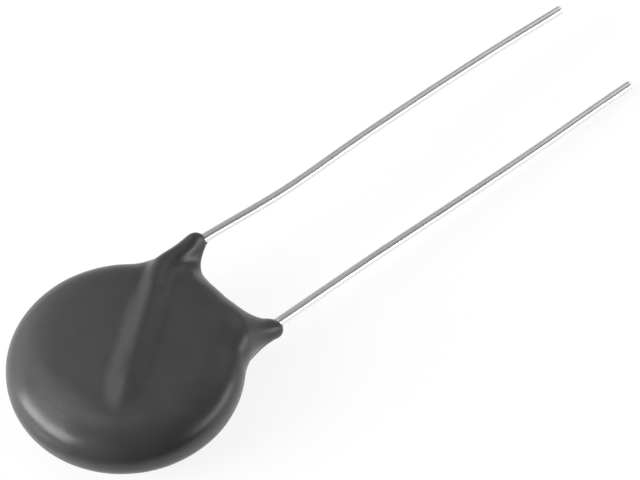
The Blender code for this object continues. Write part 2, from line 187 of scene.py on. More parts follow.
# Tinned wire: streaks drawn along it, and an uneven film
TIN_DARK = (0.80, 0.80, 0.80)
TIN_PALE = (0.88, 0.88, 0.885)
TIN_ROUGHNESS = (0.16, 0.3)
STREAK_NOISE = (1.0, 4)
STREAK_STRETCH = (160, 9000, 9000)
FILM_NOISE = (2600, 3)
TIN_DEPTH = 0.000004

# Ceramic, silver and solder
CERAMIC_DARK = (0.07, 0.08, 0.07)
CERAMIC_PALE = (0.12, 0.13, 0.115)
CERAMIC_ROUGHNESS = (0.6, 0.8)
CERAMIC_GRAINS = (12000, 4)
CERAMIC_PATCHES = (5000, 3)
CERAMIC_DEPTH = 0.000004
SILVER_TONES = ((0.70, 0.69, 0.66), (0.82, 0.81, 0.78))
SILVER_ROUGHNESS = (0.35, 0.5)
SOLDER_TONES = ((0.52, 0.52, 0.54), (0.66, 0.66, 0.68))
SOLDER_ROUGHNESS = (0.25, 0.4)
METAL_PATCHES = (3500, 4)
METAL_GRAIN = (9000, 3)
METAL_DEPTH = 0.000003

# The middle span of a noise, over which it goes from one value to another
NOISE_SPAN = (0.3, 0.7)

# Camera, fitted to the photograph: axes and place as seen from the disc's centre
CAMERA_RIGHT = (0.7466, -0.6651, -0.0164)
CAMERA_DOWN = (-0.5373, -0.5882, -0.6045)
CAMERA_FORWARD = (0.3923, 0.4601, -0.7965)
CAMERA_PLACE = (0.01293, -0.00847, -0.19974)
CAMERA_FOCAL_PIXELS = 2996
PHOTO_WIDTH_PIXELS = 640
SENSOR_MM = 36
CAMERA_CLIP = (0.005, 20)

# Floor: its tone, the share of that tone that the camera sees lit or in shadow, the white that
# is added for the camera, and how bright it is mirrored on either side of a fade
FLOOR_SIZE = 6.0
FLOOR_ALBEDO = 0.8
FLOOR_LIT_SHARE = 0.22
FLOOR_WHITE = 0.87
MIRRORED_NEAR_CAMERA = 0.01
MIRRORED_FLOOR = 0.95
MIRROR_FADE_START = -0.0135
MIRROR_FADE_END = -0.009

# The grey room around the part, which only mirrored and scattered light shows
WORLD_NEAR_CAMERA = 0.12
WORLD_BEHIND_PART = 0.42
WORLD_FADE = (-0.7, 0.5)

# Soft lights: heading, elevation, size and level. A heading is counted from +X towards +Y, and
# a light's power is LIGHT_POWER watts per square metre at level 1.
LIGHT_DISTANCE = 0.5
LIGHT_POWER = 4
LIGHTS = {
    "left_light": (155, 18, (0.31, 0.31), 7.4),
    "back_left_light": (104, 28, (0.34, 0.34), 0.65),
    "upper_left_light": (98, 62, (0.2, 0.2), 1.15),
    "right_fill": (8, 38, (0.3, 0.3), 0.4),
    "right_light": (-52, 7, (0.44, 0.24), 2.7),
}

# The way the camera looks, along the floor
AHEAD = Vector((CAMERA_FORWARD[0], CAMERA_FORWARD[1], 0)).normalized()

FRONT, BACK = 1, -1

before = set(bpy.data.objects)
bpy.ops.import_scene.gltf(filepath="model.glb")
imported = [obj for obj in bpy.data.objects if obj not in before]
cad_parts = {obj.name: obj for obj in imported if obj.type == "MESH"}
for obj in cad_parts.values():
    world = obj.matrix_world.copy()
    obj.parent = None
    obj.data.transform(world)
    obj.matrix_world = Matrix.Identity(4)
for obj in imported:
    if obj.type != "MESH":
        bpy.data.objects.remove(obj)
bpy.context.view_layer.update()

# The solids' own sizes, read from the frame
ceramic_low, ceramic_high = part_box("ceramic_disc")
DISC_CENTRE = (ceramic_low + ceramic_high) / 2
CERAMIC_RADIUS = (ceramic_high.x - ceramic_low.x) / 2
CERAMIC_TOP = ceramic_high.z - DISC_CENTRE.z
electrode_low, electrode_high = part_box("front_electrode")
ELECTRODE_RADIUS = (electrode_high.x - electrode_low.x) / 2
ELECTRODE_TOP = electrode_high.z - DISC_CENTRE.z

# Heights above the disc's middle
SOLDER_BASE = ELECTRODE_TOP + SEAT_GAP
CHANNEL_RADIUS = WIRE_RADIUS + SEAT_GAP
WIRE_HEIGHT = SOLDER_BASE + SOLDER_UNDER_WIRE + CHANNEL_RADIUS
SOLDER_TOP = WIRE_HEIGHT + CHANNEL_RADIUS + SOLDER_OVER_WIRE
RIDGE_TOP = SOLDER_TOP + SEAT_GAP + COAT_OVER_SOLDER
COAT_TOP = ELECTRODE_TOP + SEAT_GAP + COAT_OVER_FACE
RIDGE_LIFT = (math.sqrt(RIDGE_BLEND) - math.sqrt(RIDGE_TOP - COAT_TOP)) ** 2
BACK_TIP_HEIGHT = WIRE_RADIUS - RIDGE_TOP

# Radii and places in plan
COAT_RADIUS = CERAMIC_RADIUS + SEAT_GAP + COAT_ROUND_EDGE
EXIT_X = COAT_RADIUS + NUB_REACH
BACK_TIP_X = EXIT_X + LEAD_LENGTH
FRONT_TIP_X = BACK_TIP_X + FRONT_LEAD_EXTRA
SLEEVE_RADIUS = RIDGE_TOP - RIDGE_LIFT - WIRE_HEIGHT
CORNER_SLEEVE_RADIUS = CHANNEL_RADIUS + COAT_OVER_CORNER
LIP_RADIUS = CHANNEL_RADIUS + COAT_LIP


# The wires' routes

def smooth_route(keys, step):
    """Points along a centripetal Catmull-Rom curve through keys, about a step apart."""
    padded = [2 * keys[0] - keys[1], *keys, 2 * keys[-1] - keys[-2]]
    route = [keys[0]]
    for span in range(len(keys) - 1):
        before, start, end, after = padded[span : span + 4]
        k0, k1 = 0.0, math.sqrt((start - before).length)
        k2 = k1 + math.sqrt((end - start).length)
        k3 = k2 + math.sqrt((after - end).length)
        count = max(1, round((end - start).length / step))
        for index in range(1, count + 1):
            t = k1 + (k2 - k1) * index / count
            a1 = before.lerp(start, (t - k0) / (k1 - k0))
            a2 = start.lerp(end, (t - k1) / (k2 - k1))
            a3 = end.lerp(after, (t - k2) / (k3 - k2))
            b1 = a1.lerp(a2, (t - k0) / (k2 - k0))
            b2 = a2.lerp(a3, (t - k1) / (k3 - k1))
            route.append(b1.lerp(b2, (t - k1) / (k2 - k1)))
    return route


def wire_end(side):
    return Vector((WIRE_END_X, side * WIRE_END_Y, side * WIRE_HEIGHT))


def wire_corner(side):
    x = CERAMIC_RADIUS + CORNER_PAST_CERAMIC
    y = side * (LEAD_PITCH / 2 + CORNER_OUTSIDE_EXIT) + EXIT_SHIFT_Y
    return Vector((x, y, side * WIRE_HEIGHT))


def wire_exit(side):
    height = FRONT_EXIT_HEIGHT if side == FRONT else BACK_EXIT_HEIGHT
    return Vector((EXIT_X, side * LEAD_PITCH / 2 + EXIT_SHIFT_Y, height))


def lead_tip(side):
    x, height = BACK_TIP_X, BACK_TIP_HEIGHT
    if side == FRONT:
        x, height = FRONT_TIP_X, FRONT_TIP_HEIGHT
    return Vector((x, side * LEAD_PITCH / 2 + TIP_SHIFT_Y, height))


def sway_points(side):
    """Where the lead strays from a straight line between its exit and its tip."""
    start, tip = wire_exit(side), lead_tip(side)
    sway = FRONT_SWAY if side == FRONT else BACK_SWAY
    return [start.lerp(tip, share) + Vector((0, offset, 0)) for share, offset in sway]


def inner_keys(side):
    """The wire's end, its eased corner, its straight way out and a point just past the coat."""
    end, corner, way_out = wire_end(side), wire_corner(side), wire_exit(side)
    heading = (sway_points(side)[0] - way_out).normalized()
    straight = way_out - STRAIGHT_IN_NUB * heading
    inward = (end - corner).normalized()
    outward = (straight - corner).normalized()
    return [
        end,
        end.lerp(corner, 0.5),
        corner + CORNER_EASE * inward,
        corner + CORNER_CUT * CORNER_EASE * (inward + outward),
        corner + CORNER_EASE * outward,
        straight,
        way_out,
        way_out + CHANNEL_PAST_EXIT * heading,
    ]


def wire_route(side):
    return smooth_route([*inner_keys(side), *sway_points(side), lead_tip(side)], WIRE_STEP)


def coated_route(side):
    """The stretch of wire under the coat, with the radius of the coat's swelling over it."""
    route = smooth_route(inner_keys(side), 2 * WIRE_STEP)
    route = [point for point in route if point.x < nub_tip(side).x]
    end, corner = wire_end(side), wire_corner(side)
    run = (corner - end).length
    stations = (0, RIDGE_FADE, run - CORNER_FADE, run, run + (route[-1] - corner).length)
    crest = (SLEEVE_RADIUS - RIDGE_SLOPE, SLEEVE_RADIUS)
    radii = (CHANNEL_RADIUS, *crest, CORNER_SLEEVE_RADIUS, LIP_RADIUS)
    before = [(point - end).length for point in route]
    past = [run + (point - corner).length for point in route]
    places = [a if a < run else b for a, b in zip(before, past)]
    return route, [np.interp(place, stations, radii) for place in places]


# The coat's surface, as a distance from any point to it

def web_axis():
    x = COAT_RADIUS + WEB_REACH - WEB_RADIUS
    return Vector((x, -WEB_LENGTH / 2, 0)), Vector((x, WEB_LENGTH / 2, 0))


def nub_tip(side):
    """Centre of the nub's round end. The back one sags outside and below its lead."""
    if side == FRONT:
        return wire_exit(side) + Vector((-FRONT_NUB_TIP_INSET, 0, FRONT_NUB_TIP_LIFT))
    return wire_exit(side) - Vector((BACK_NUB_TIP_INSET, BACK_NUB_TIP_OUTSIDE, BACK_NUB_TIP_DROP))


def nub_axis(side):
    """Root and tip centres of the nub around a lead."""
    root = Vector((
        COAT_RADIUS - NUB_ROOT_INSET,
        side * (LEAD_PITCH / 2 - NUB_ROOT_INSIDE) + NUB_ROOT_SHIFT_Y,
        NUB_ROOT_HEIGHT,
    ))
    return root, nub_tip(side)


def nub_radii(side):
    return NUB_ROOT_RADIUS, FRONT_NUB_TIP_RADIUS if side == FRONT else BACK_NUB_TIP_RADIUS


def distance_to_flank(points, side):
    """Distance to the plane that trims a nub's inner side, alike in depth at root and tip."""
    root, tip = nub_axis(side)
    root_radius, tip_radius = nub_radii(side)
    axis = (tip - root).normalized()
    inward = axis.cross(Vector((0, 0, side))).normalized()
    upward = inward.cross(axis) * side
    turn = math.radians(FLANK_TURN)
    lean = (root_radius - tip_radius) / (tip - root).length
    way = axis * lean
    way += math.sqrt(1 - lean**2) * (math.cos(turn) * inward + math.sin(turn) * upward)
    return (points - np.array(root)) @ np.array(way) - (root_radius - FLANK_DEPTH)


def blend_min(a, b, width):
    """The smaller of two distances, with the corner between them rounded over width."""
    overlap = np.maximum(width - np.abs(a - b), 0) / width
    return np.minimum(a, b) - overlap**2 * width / 4


def distance_to_route(points, route, radii):
    """Distance from each point to the hull of balls whose radius varies along a route."""
    nearest = np.full(len(points), np.inf)
    for start, end, first, last in zip(route[:-1], route[1:], radii[:-1], radii[1:]):
        length = (end - start).length
        taper = (first - last) / length
        offset = points - np.array(start)
        ahead = offset @ np.array((end - start) / length)
        aside = np.sqrt(np.maximum((offset**2).sum(axis=1) - ahead**2, 0))
        reach = np.clip(ahead - aside * taper / math.sqrt(1 - taper**2), 0, length)
        nearest = np.minimum(nearest, np.hypot(aside, ahead - reach) - (first - taper * reach))
    return nearest


def distance_to_disc(points):
    """Distance to the coated disc: flat faces that run gently into a full rim."""
    reach = np.hypot(points[:, 0], points[:, 1]) - (COAT_RADIUS - RIM_REACH)
    across = np.maximum(reach, 0) / RIM_REACH
    up = np.abs(points[:, 2]) / COAT_TOP
    return ((across**RIM_POWER + up**EDGE_POWER) ** (1 / EDGE_POWER) - 1) * COAT_TOP


def solder_axes(side):
    """Middle, length direction and width direction of a solder mound on its electrode."""
    end, corner = wire_end(side), wire_corner(side)
    along = (corner - end).normalized()
    middle = end + along * (SOLDER_LENGTH / 2 - SOLDER_PAST_WIRE_END)
    middle.z = side * SOLDER_BASE
    width = Vector((-along.y, along.x, 0)) * side
    return middle, along, width


def distance_to_mound(points, side):
    """Distance to the coat's swelling over a solder mound."""
    middle, along, width = solder_axes(side)
    half_width = SOLDER_WIDTH / 2 + COAT_OVER_SOLDER
    half_height = RIDGE_TOP - RIDGE_LIFT - MOUND_UNDER_CREST - SOLDER_BASE
    offset = points - np.array(middle)
    straight = (SOLDER_LENGTH - SOLDER_WIDTH) / 2
    past = np.maximum(np.abs(offset @ np.array(along)) - straight, 0) / RIDGE_FADE
    across = offset @ np.array(width) / half_width
    up = offset[:, 2] / half_height
    return (np.sqrt(past**2 + across**2 + up**2) - 1) * half_height


def smooth_step(value):
    share = np.clip(value, 0, 1)
    return share * share * (3 - 2 * share)


def thin_place(points):
    """How much the coat drained away at each point, on one side of the front face's rim."""
    turn = math.radians(THIN_HEADING)
    out = points[:, 0] * math.cos(turn) + points[:, 1] * math.sin(turn)
    aside = points[:, 1] * math.cos(turn) - points[:, 0] * math.sin(turn)
    depth = THIN_DEPTH * smooth_step((out - THIN_START) / (THIN_END - THIN_START))
    spread = np.exp(-((aside / THIN_WIDTH) ** 2))
    return depth * spread * smooth_step(points[:, 2] / THIN_FADE)


def spur(side):
    """A small flake of coat that runs out along the wire's lower side."""
    heading = (sway_points(side)[0] - wire_exit(side)).normalized()
    under = Vector(SPUR_PLACE) * WIRE_RADIUS
    start = wire_exit(side) + under - SPUR_REACH * heading
    return start, start + 2 * SPUR_REACH * heading


def coat_waves(points):
    """The dip's slight unevenness: a few crossing waves, between -1 and 1."""
    total = np.zeros(len(points))
    for index, length in enumerate(WAVE_LENGTHS):
        turn = 2 * math.pi / length
        total += np.sin(turn * points[:, 0] + index) * np.cos(turn * points[:, 1] + 2 * index)
    return total / len(WAVE_LENGTHS)


class Coat:
    """The coat's outer surface, from the parts that it covers."""

    def __init__(self):
        self.ridges = {side: coated_route(side) for side in (FRONT, BACK)}

    def distance(self, points):
        web = distance_to_route(points, web_axis(), (WEB_RADIUS, WEB_RADIUS))
        field = blend_min(distance_to_disc(points) + thin_place(points), web, WEB_BLEND)
        for side in (FRONT, BACK):
            nub = distance_to_route(points, nub_axis(side), nub_radii(side))
            if side == FRONT:
                nub = -blend_min(-nub, -distance_to_flank(points, side), FLANK_BLEND)
            field = blend_min(field, nub, NUB_BLEND)
        for side in (FRONT, BACK):
            sleeve = distance_to_route(points, *self.ridges[side])
            ridge = blend_min(sleeve, distance_to_mound(points, side), MOUND_UNDER_CREST)
            field = blend_min(field, ridge, RIDGE_BLEND)
            flake = distance_to_route(points, spur(side), SPUR_RADII)
            field = blend_min(field, flake, SPUR_RADII[0])
        return field + WAVE_MARGIN + WAVE_DEPTH * (1 + coat_waves(points))

    def slope(self, points):
        """Gradient of the distance, by central differences."""
        slope = np.empty_like(points)
        for axis in range(3):
            shift = np.zeros(3)
            shift[axis] = SLOPE_STEP
            slope[:, axis] = self.distance(points + shift) - self.distance(points - shift)
        return slope / (2 * SLOPE_STEP)

    def draw_in(self, points):
        """One Newton step towards the surface, no longer than a cell."""
        slope = self.slope(points)
        steep = np.maximum((slope**2).sum(axis=1), LEAST_STEEPNESS)
        move = np.clip(self.distance(points) / steep, -COAT_CELL, COAT_CELL)
        return points - slope * move[:, None]


# Meshes

def mesh_object(name, work):
    """An object from a bmesh, with its faces turned outwards."""
    bmesh.ops.recalc_face_normals(work, faces=work.faces)
    mesh = bpy.data.meshes.new(name)
    work.to_mesh(mesh)
    work.free()
    obj = bpy.data.objects.new(name, mesh)
    bpy.context.scene.collection.objects.link(obj)
    return obj


def add_tube(work, route, radii, sides, dent=None):
    """A closed round tube along route. dent(s, angle) is how far its wall is pressed in."""
    side_way = Vector((0, 0, 1))
    rings, travelled = [], 0.0
    for index, point in enumerate(route):
        ahead = route[min(index + 1, len(route) - 1)]
        behind = route[max(index - 1, 0)]
        along = (ahead - behind).normalized()
        side_way = (side_way - along * side_way.dot(along)).normalized()
        third = along.cross(side_way)
        if index:
            travelled += (point - route[index - 1]).length
        ring = []
        for corner in range(sides):
            angle = 2 * math.pi * corner / sides
            reach = radii[index] - (dent(travelled, angle) if dent else 0)
            way = side_way * math.cos(angle) + third * math.sin(angle)
            ring.append(work.verts.new(point + way * reach))
        rings.append(ring)
    for near, far in zip(rings[:-1], rings[1:]):
        for corner in range(sides):
            after = (corner + 1) % sides
            work.faces.new((near[corner], near[after], far[after], far[corner]))
    work.faces.new(list(reversed(rings[0])))
    work.faces.new(rings[-1])


def add_ball(work, centre, radius):
    bmesh.ops.create_uvsphere(
        work,
        u_segments=ROUGH_SIDES,
        v_segments=BALL_RINGS,
        radius=radius,
        matrix=Matrix.Translation(centre),
    )


def add_turned(work, profile, segments):
    """A solid of revolution about Z, from (radius, height) points down its outer side."""
    verts = [work.verts.new((radius, 0, height)) for radius, height in profile]
    edges = [work.edges.new(pair) for pair in zip(verts[:-1], verts[1:])]
    bmesh.ops.spin(
        work,
        geom=[*verts, *edges],
        cent=(0, 0, 0),
        axis=(0, 0, 1),
        angle=2 * math.pi,
        steps=segments,
        use_merge=True,
    )
    bmesh.ops.remove_doubles(work, verts=work.verts, dist=SAME_POINT)


def add_mound(work, side, grow):
    """The pocket of a solder mound, flat on the electrode and wider by grow all round."""
    middle, along, width = solder_axes(side)
    half_width = SOLDER_WIDTH / 2 + grow
    height = SOLDER_TOP - SOLDER_BASE + grow
    straight = (SOLDER_LENGTH - SOLDER_WIDTH) / 2
    mound = bmesh.new()
    bmesh.ops.create_uvsphere(mound, u_segments=ROUGH_SIDES, v_segments=MOUND_RINGS, radius=1)
    for vert in mound.verts:
        x, y, z = vert.co
        shift = math.copysign(straight, x) if abs(x) > MOUND_SEAM else 0
        vert.co = Vector((x * half_width + shift, y * half_width, z * height))
    geometry = [*mound.verts, *mound.edges, *mound.faces]
    foot = bmesh.ops.bisect_plane(
        mound, geom=geometry, plane_co=(0, 0, -grow), plane_no=(0, 0, -1), clear_outer=True
    )
    rim = [item for item in foot["geom_cut"] if isinstance(item, bmesh.types.BMEdge)]
    bmesh.ops.edgeloop_fill(mound, edges=rim)
    axes = Matrix((along, width, Vector((0, 0, side)))).transposed().to_4x4()
    mound.transform(Matrix.Translation(middle) @ axes)
    held = bpy.data.meshes.new("mound")
    mound.to_mesh(held)
    mound.free()
    work.from_mesh(held)


def evaluated_mesh(obj):
    bpy.context.view_layer.update()
    graph = bpy.context.evaluated_depsgraph_get()
    return bpy.data.meshes.new_from_object(obj.evaluated_get(graph))


def swap_mesh(obj):
    """Applies an object's modifiers."""
    mesh = evaluated_mesh(obj)
    obj.modifiers.clear()
    obj.data = mesh


def rough_coat():
    """Disc, web, nubs and ridges joined to one voxel mesh."""
    work = bmesh.new()
    angles = np.linspace(math.pi / 2, -math.pi / 2, ROUGH_RIM_POINTS)
    core = COAT_RADIUS - RIM_REACH
    rim = [(core + RIM_REACH * math.cos(a), COAT_TOP * math.sin(a)) for a in angles]
    add_turned(work, [(0, COAT_TOP), *rim, (0, -COAT_TOP)], ROUGH_TURNS)
    add_tube(work, web_axis(), (WEB_RADIUS, WEB_RADIUS), ROUGH_SIDES)
    for side in (FRONT, BACK):
        add_tube(work, nub_axis(side), nub_radii(side), ROUGH_SIDES)
        add_ball(work, nub_tip(side), nub_radii(side)[1])
        route, radii = coated_route(side)
        add_tube(work, route, radii, ROUGH_SIDES)
        add_tube(work, spur(side), SPUR_RADII, ROUGH_SIDES)
    body = mesh_object("epoxy_coat", work)
    remesh = body.modifiers.new("skin", "REMESH")
    remesh.mode = "VOXEL"
    remesh.voxel_size = COAT_CELL
    swap_mesh(body)
    return body


def relax_onto_coat(mesh, coat):
    """Evens out the mesh and draws it onto the coat's surface."""
    points = np.empty(len(mesh.vertices) * 3)
    mesh.vertices.foreach_get("co", points)
    points = points.reshape(-1, 3)
    edges = np.empty(len(mesh.edges) * 2, np.int32)
    mesh.edges.foreach_get("vertices", edges)
    edges = edges.reshape(-1, 2)
    valence = np.bincount(edges.ravel(), minlength=len(points))[:, None]
    for _ in range(RELAXING_PASSES):
        total = np.zeros_like(points)
        for axis in range(3):
            total[:, axis] = np.bincount(
                edges[:, 0], points[edges[:, 1], axis], len(points)
            ) + np.bincount(edges[:, 1], points[edges[:, 0], axis], len(points))
        points = coat.draw_in(0.5 * points + 0.5 * total / valence)
    for _ in range(LAST_PASSES):
        points = coat.draw_in(points)
    mesh.vertices.foreach_set("co", points.ravel())
    mesh.update()


def inner_room():
    """One object that fills the coat's hollow: disc, solder and wires."""
    work = bmesh.new()
    inner, outer = ELECTRODE_RADIUS + SEAT_GAP, CERAMIC_RADIUS + SEAT_GAP
    high, low = ELECTRODE_TOP + SEAT_GAP, CERAMIC_TOP + SEAT_GAP
    profile = [(0, high), (inner, high), (inner, low), (outer, low)]
    profile += [(radius, -height) for radius, height in reversed(profile)]
    add_turned(work, profile, ROOM_TURNS)
    for side in (FRONT, BACK):
        add_mound(work, side, SEAT_GAP)
        route = smooth_route(inner_keys(side), WIRE_STEP)
        add_tube(work, route, [WIRE_RADIUS + CUTTER_GAP] * len(route), WIRE_SIDES)
    return mesh_object("inner_room", work)


def clear_slivers(mesh):
    """Triangulates a mesh and takes out the slivers that a cut leaves."""
    work = bmesh.new()
    work.from_mesh(mesh)
    bmesh.ops.triangulate(work, faces=work.faces)
    bmesh.ops.remove_doubles(work, verts=work.verts, dist=SLIVER)
    bmesh.ops.dissolve_degenerate(work, edges=work.edges, dist=SLIVER)
    bmesh.ops.triangulate(work, faces=work.faces)
    work.to_mesh(mesh)
    work.free()


def make_coat():
    body = rough_coat()
    relax_onto_coat(body.data, Coat())
    room = inner_room()
    hollow = body.modifiers.new("hollow", "BOOLEAN")
    hollow.operation = "DIFFERENCE"
    hollow.solver = "EXACT"
    hollow.use_self = True
    hollow.object = room
    swap_mesh(body)
    clear_slivers(body.data)
    bpy.data.objects.remove(room)
    return body


def nick_at(place):
    """A function that gives the nick's depth, from the way along a lead and round it."""

    def depth(travelled, angle):
        past = (travelled - place) / NICK_REACH
        turned = math.remainder(angle - NICK_ANGLE, 2 * math.pi) / NICK_SPREAD
        return NICK_DEPTH * math.exp(-(past**2) - turned**2)

    return depth


def make_lead(side, name):
    """A fine round wire, with a cut tip whose edge is drawn in a little."""
    route = wire_route(side)
    lengths = np.cumsum([0] + [(b - a).length for a, b in zip(route[:-1], route[1:])])
    exit_index = min(range(len(route)), key=lambda index: (route[index] - wire_exit(side)).length)
    dent = nick_at(lengths[exit_index] + NICK_FROM_EXIT) if side == FRONT else None
    heading = (route[-1] - route[-2]).normalized()
    tip = route[-1]
    route[-1] = tip - TIP_ROUND * heading
    radii = [WIRE_RADIUS] * len(route)
    for share in TIP_RINGS:
        route.append(tip - TIP_ROUND * (1 - share) * heading)
        radii.append(WIRE_RADIUS - TIP_DRAW * share**2)
    work = bmesh.new()
    add_tube(work, route, radii, WIRE_SIDES, dent)
    return mesh_object(name, work)


# Materials

def new_material(name):
    material = bpy.data.materials.new(name)
    material.use_nodes = True
    tree = material.node_tree
    return material, tree, tree.nodes["Principled BSDF"]


def opaque(color):
    return (*color, 1)


def noise(tree, scale, detail, stretch=(1, 1, 1)):
    """Noise over the part, in the frame's own metres."""
    place = tree.nodes.new("ShaderNodeTexCoord")
    mapping = tree.nodes.new("ShaderNodeMapping")
    mapping.inputs["Scale"].default_value = stretch
    tree.links.new(place.outputs["Object"], mapping.inputs["Vector"])
    texture = tree.nodes.new("ShaderNodeTexNoise")
    texture.inputs["Scale"].default_value = scale
    texture.inputs["Detail"].default_value = detail
    tree.links.new(mapping.outputs["Vector"], texture.inputs["Vector"])
    return texture.outputs["Fac"]


def set_or_link(tree, socket, value):
    """Gives a socket a number, or another node's output."""
    if isinstance(value, bpy.types.NodeSocket):
        tree.links.new(value, socket)
    else:
        socket.default_value = value


def value_range(tree, value, span, levels):
    """A value carried from one level to another over a span, and held past the span's ends."""
    node = tree.nodes.new("ShaderNodeMapRange")
    node.inputs["From Min"].default_value, node.inputs["From Max"].default_value = span
    set_or_link(tree, node.inputs["To Min"], levels[0])
    set_or_link(tree, node.inputs["To Max"], levels[1])
    tree.links.new(value, node.inputs["Value"])
    return node.outputs["Result"]


def math_node(tree, operation, *values):
    """A sum, a product or both. Each value is a number or another node's output."""
    node = tree.nodes.new("ShaderNodeMath")
    node.operation = operation
    for socket, value in zip(node.inputs, values):
        set_or_link(tree, socket, value)
    return node.outputs[0]


def color_mix(tree, value, first, second):
    """Two colours mixed by a value. The first may be another node's output."""
    mix = tree.nodes.new("ShaderNodeMix")
    mix.data_type = "RGBA"
    set_or_link(tree, mix.inputs[6], first)
    set_or_link(tree, mix.inputs[7], second)
    tree.links.new(value, mix.inputs[0])
    return mix.outputs[2]


def bump(tree, height, distance, below=None):
    node = tree.nodes.new("ShaderNodeBump")
    node.inputs["Distance"].default_value = distance
    tree.links.new(height, node.inputs["Height"])
    if below is not None:
        tree.links.new(below, node.inputs["Normal"])
    return node.outputs["Normal"]


def vector_math(tree, operation, vector, other=None):
    node = tree.nodes.new("ShaderNodeVectorMath")
    node.operation = operation
    tree.links.new(vector, node.inputs[0])
    if other is not None:
        node.inputs[1].default_value = other
    return node


def reach_along(tree, vector, way):
    """How far a point or direction lies along way."""
    return vector_math(tree, "DOT_PRODUCT", vector, way).outputs["Value"]


def near_place(tree, place, reach):
    """1 at a place on the part, and 0 from reach away on, along each axis."""
    here = tree.nodes.new("ShaderNodeTexCoord").outputs["Object"]
    offset = vector_math(tree, "SUBTRACT", here, place).outputs["Vector"]
    share = vector_math(tree, "DIVIDE", offset, reach).outputs["Vector"]
    length = vector_math(tree, "LENGTH", share).outputs["Value"]
    fade = value_range(tree, length, (0, 1), (1, 0))
    fade.node.interpolation_type = "SMOOTHSTEP"
    return fade


def epoxy_material():
    """Dark semi-gloss epoxy: painted light that leaves it palest on the far left, fine grain,
    faint clouds, a wavy skin and a dull pitted patch whose pale specks are painted glints.
    """
    material, tree, shader = new_material("dark_epoxy")
    place = tree.nodes.new("ShaderNodeTexCoord").outputs["Object"]
    # Painted light: the tone runs from palest on the far left, as if lit from there, to darker on
    # the right
    start = DISC_CENTRE.dot(PAINTED_SHADE_WAY) - COAT_RADIUS
    span = (start, start + PAINTED_SHADE_RADII * COAT_RADIUS)
    tone = value_range(tree, reach_along(tree, place, PAINTED_SHADE_WAY), span, (1, 0))
    clouds = value_range(tree, noise(tree, *CLOUD_NOISE), NOISE_SPAN, (0, CLOUD_SHARE))
    painted_light_and_clouds = math_node(tree, "ADD", tone, clouds)
    body = color_mix(tree, painted_light_and_clouds, opaque(EPOXY_DARK), opaque(EPOXY_CLOUD_AND_PAINTED_LIGHT))
    dull = near_place(tree, DISC_CENTRE + Vector(DULL_PLACE), DULL_REACH)
    # Painted glints: pale specks in the dull patch stand in for the grainy glow of the highlight
    # there
    specks = value_range(tree, noise(tree, *SPECK_NOISE), SPECK_SPAN, SPECK_SHARE)
    painted_glints = math_node(tree, "MULTIPLY", dull, specks)
    color = color_mix(tree, painted_glints, body, opaque(PAINTED_GLINT_COLOR))
    tree.links.new(color, shader.inputs["Base Color"])
    gloss = value_range(tree, noise(tree, *GLOSS_NOISE), NOISE_SPAN, GLOSS_ROUGHNESS)
    rough = math_node(tree, "MULTIPLY_ADD", dull, DULL_ROUGHNESS, gloss)
    tree.links.new(rough, shader.inputs["Roughness"])
    skin = bump(tree, noise(tree, *SKIN_NOISE), SKIN_DEPTH)
    pitted = math_node(tree, "MULTIPLY", dull, noise(tree, *PIT_NOISE))
    pits = bump(tree, pitted, PIT_DEPTH, skin)
    grain = bump(tree, noise(tree, *GRAIN_NOISE), GRAIN_DEPTH, pits)
    tree.links.new(grain, shader.inputs["Normal"])
    shader.inputs["IOR"].default_value = EPOXY_IOR
    return material


def tinned_material():
    """Bright tinned wire: streaks drawn along it, with a faintly uneven film of tin."""
    material, tree, shader = new_material("tinned_wire")
    streaks = noise(tree, *STREAK_NOISE, STREAK_STRETCH)
    film = noise(tree, *FILM_NOISE)
    cover = value_range(tree, film, NOISE_SPAN, (0, 1))
    color = color_mix(tree, cover, opaque(TIN_DARK), opaque(TIN_PALE))
    tree.links.new(color, shader.inputs["Base Color"])
    rough = value_range(tree, streaks, NOISE_SPAN, TIN_ROUGHNESS)
    tree.links.new(rough, shader.inputs["Roughness"])
    drawn = bump(tree, streaks, TIN_DEPTH)
    tree.links.new(bump(tree, film, TIN_DEPTH, drawn), shader.inputs["Normal"])
    shader.inputs["Metallic"].default_value = 1
    return material


def ceramic_material():
    material, tree, shader = new_material("zinc_oxide_ceramic")
    grains = noise(tree, *CERAMIC_GRAINS)
    cover = value_range(tree, grains, NOISE_SPAN, (0, 1))
    color = color_mix(tree, cover, opaque(CERAMIC_DARK), opaque(CERAMIC_PALE))
    tree.links.new(color, shader.inputs["Base Color"])
    rough = value_range(tree, noise(tree, *CERAMIC_PATCHES), NOISE_SPAN, CERAMIC_ROUGHNESS)
    tree.links.new(rough, shader.inputs["Roughness"])
    tree.links.new(bump(tree, grains, CERAMIC_DEPTH), shader.inputs["Normal"])
    return material


def metal_material(name, tones, roughness):
    """Fired silver or solder: a metal whose tone and gloss vary in small patches."""
    material, tree, shader = new_material(name)
    patches = noise(tree, *METAL_PATCHES)
    cover = value_range(tree, patches, NOISE_SPAN, (0, 1))
    color = color_mix(tree, cover, opaque(tones[0]), opaque(tones[1]))
    tree.links.new(color, shader.inputs["Base Color"])
    rough = value_range(tree, patches, NOISE_SPAN, roughness)
    tree.links.new(rough, shader.inputs["Roughness"])
    tree.links.new(bump(tree, noise(tree, *METAL_GRAIN), METAL_DEPTH), shader.inputs["Normal"])
    shader.inputs["Metallic"].default_value = 1
    return material


def set_material(obj, material):
    obj.data.materials.clear()
    obj.data.materials.append(material)


# Studio

